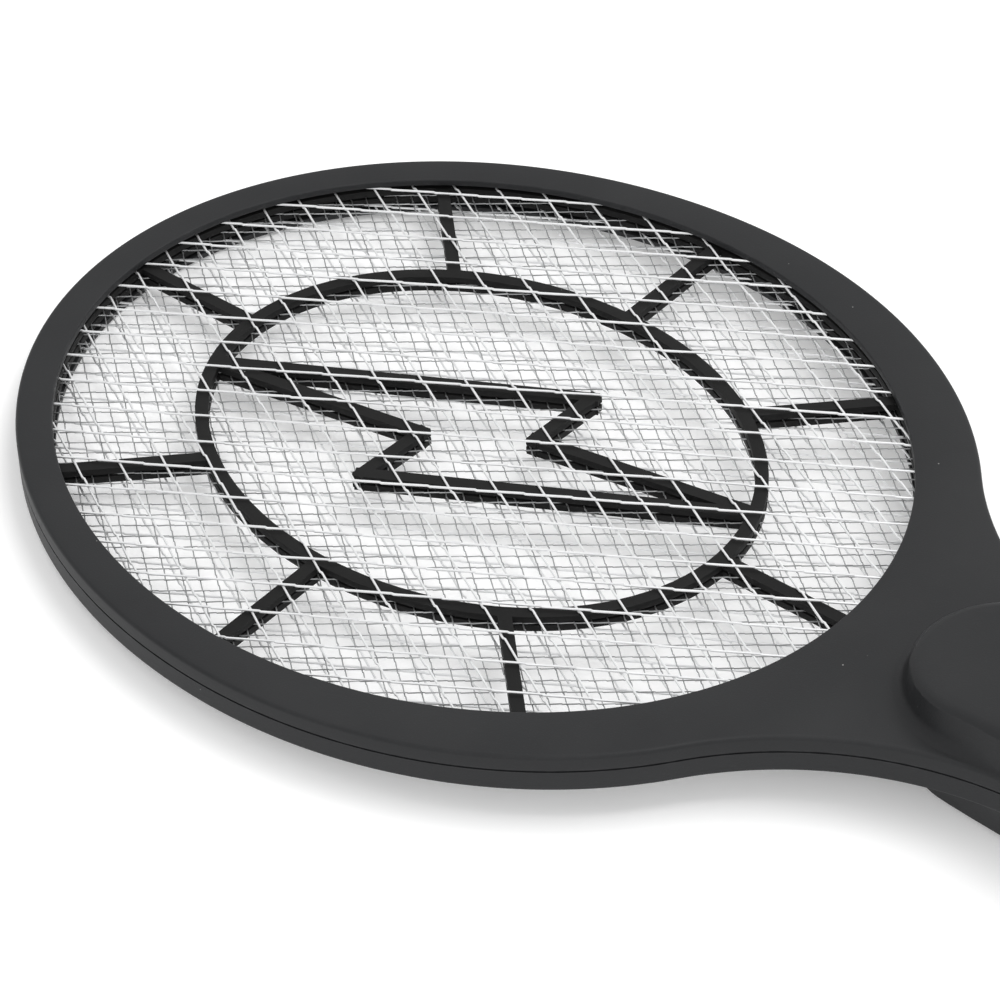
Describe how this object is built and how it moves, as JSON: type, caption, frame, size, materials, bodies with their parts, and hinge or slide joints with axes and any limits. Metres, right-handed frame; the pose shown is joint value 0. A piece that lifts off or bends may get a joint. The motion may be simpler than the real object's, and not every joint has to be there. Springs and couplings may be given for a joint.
{
  "type": "electric fly swatter",
  "caption": "Battery-powered electric fly swatter with an oval three-layer wire mesh head, ribbed spacers and a straight two-part handle.",
  "frame": {"origin": "under the middle of the whole swatter, level with the flat back of the handle", "axes": "+X towards the end of the handle, +Z out of the front face of the head, +Y to the left when looking along +X with the front face up"},
  "size_m": [0.445, 0.195, 0.033],
  "materials": {
    "shell_plastic": "satin charcoal moulding with a fine spark texture",
    "rib_plastic": "plain black moulding",
    "mesh_wire": "bright silver wire",
    "tinned_metal": "tinned strip",
    "red_insulation": "soft pvc",
    "white_insulation": "soft pvc",
    "black_insulation": "soft pvc",
    "board_laminate": "green solder mask",
    "ferrite": "dull grey ceramic",
    "coil_tape": "yellow tape over winding",
    "capacitor_dip": "dipped resin",
    "black_resin": "moulded epoxy",
    "resistor_body": "lacquered ceramic",
    "led_epoxy": "clear red resin",
    "button_plastic": "satin",
    "switch_plastic": "smooth",
    "plunger_plastic": "smooth",
    "screw_steel": "zinc plated",
    "spring_steel": "nickel plated",
    "cell_case": "printed sleeve"
  },
  "bodies": {
    "casing": {"front_shell": "shell_plastic", "rear_shell": "shell_plastic", "front_mesh": "mesh_wire", "centre_mesh": "mesh_wire", "rear_mesh": "mesh_wire", "front_ribs": "rib_plastic", "rear_ribs": "rib_plastic", "front_terminal": "tinned_metal", "centre_terminal": "tinned_metal", "rear_terminal": "tinned_metal", "front_lead": "red_insulation", "centre_lead": "white_insulation", "rear_lead": "black_insulation", "circuit_board": "board_laminate", "board_screws": "screw_steel", "transformer_core": "ferrite", "transformer_coil": "coil_tape", "storage_capacitor": "capacitor_dip", "transistor": "black_resin", "diodes": "black_resin", "resistors": "resistor_body", "indicator_led": "led_epoxy", "switch_body": "switch_plastic", "slide_switch_body": "tinned_metal", "battery_positive": "tinned_metal", "battery_negative": "tinned_metal", "battery_link": "tinned_metal", "battery_springs": "spring_steel", "battery_cell_front": "cell_case", "battery_cell_rear": "cell_case", "positive_lead": "red_insulation", "negative_lead": "black_insulation", "case_screws": "screw_steel"},
    "button": {"push_button": "button_plastic", "switch_plunger": "plunger_plastic"},
    "slider": {"power_slider": "button_plastic"},
    "door": {"battery_door": "shell_plastic"}
  },
  "joints": [
    {"name": "button_press", "type": "slide", "parent": "casing", "child": "button", "axis": [0, 0, -1], "range_m": [0, 0.0015], "stiffness_N_per_m": 300, "springref_m": -0.002},
    {"name": "power_slide", "type": "slide", "parent": "casing", "child": "slider", "axis": [1, 0, 0], "range_m": [0, 0.004]},
    {"name": "door_hinge", "type": "hinge", "parent": "casing", "child": "door", "pos_m": [0.1297, 0, 0.0009], "axis": [0, 1, 0], "range_deg": [0, 80]}
  ]
}
